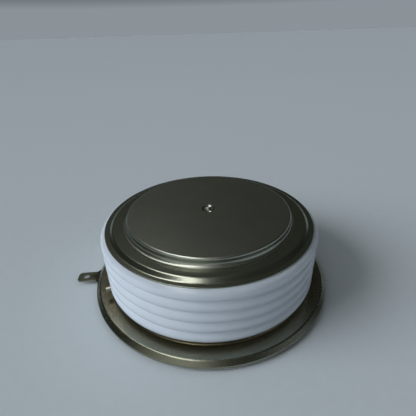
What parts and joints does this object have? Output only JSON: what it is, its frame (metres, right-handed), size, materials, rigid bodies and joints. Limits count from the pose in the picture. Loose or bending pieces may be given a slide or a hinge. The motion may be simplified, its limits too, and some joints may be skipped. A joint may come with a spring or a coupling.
{
  "type": "disc thyristor",
  "caption": "Round press-pack thyristor capsule: a ribbed glazed ceramic ring between flat metal contact faces, with a weld rim that carries a flat tab, and a gate tube.",
  "frame": {"origin": "middle of the cathode contact face, at the mouth of its locating hole", "axes": "+Z along the axis from the cathode face to the anode face; the tab points to -X"},
  "size_m": [0.0854, 0.0782, 0.026],
  "materials": {
    "nickel_plate": "satin",
    "glazed_alumina": "gloss",
    "molybdenum": "satin",
    "silicon": "polished",
    "silicone_rubber": "matte",
    "ptfe": "matte",
    "copper_wire": "satin",
    "spring_steel": "satin"
  },
  "bodies": {
    "root": {"ceramic_ring": "glazed_alumina", "anode_pole_piece": "nickel_plate", "anode_diaphragm": "nickel_plate", "weld_flange": "nickel_plate", "cathode_pole_piece": "nickel_plate", "cathode_diaphragm": "nickel_plate", "gate_tube": "nickel_plate", "gate_lead": "copper_wire", "gate_lead_sleeve": "ptfe", "gate_contact": "molybdenum", "gate_spring": "spring_steel", "gate_insulator": "ptfe", "silicon_wafer": "silicon", "anode_molybdenum_disc": "molybdenum", "cathode_molybdenum_disc": "molybdenum", "wafer_edge_ring": "silicone_rubber", "locating_ring": "ptfe"}
  },
  "joints": []
}
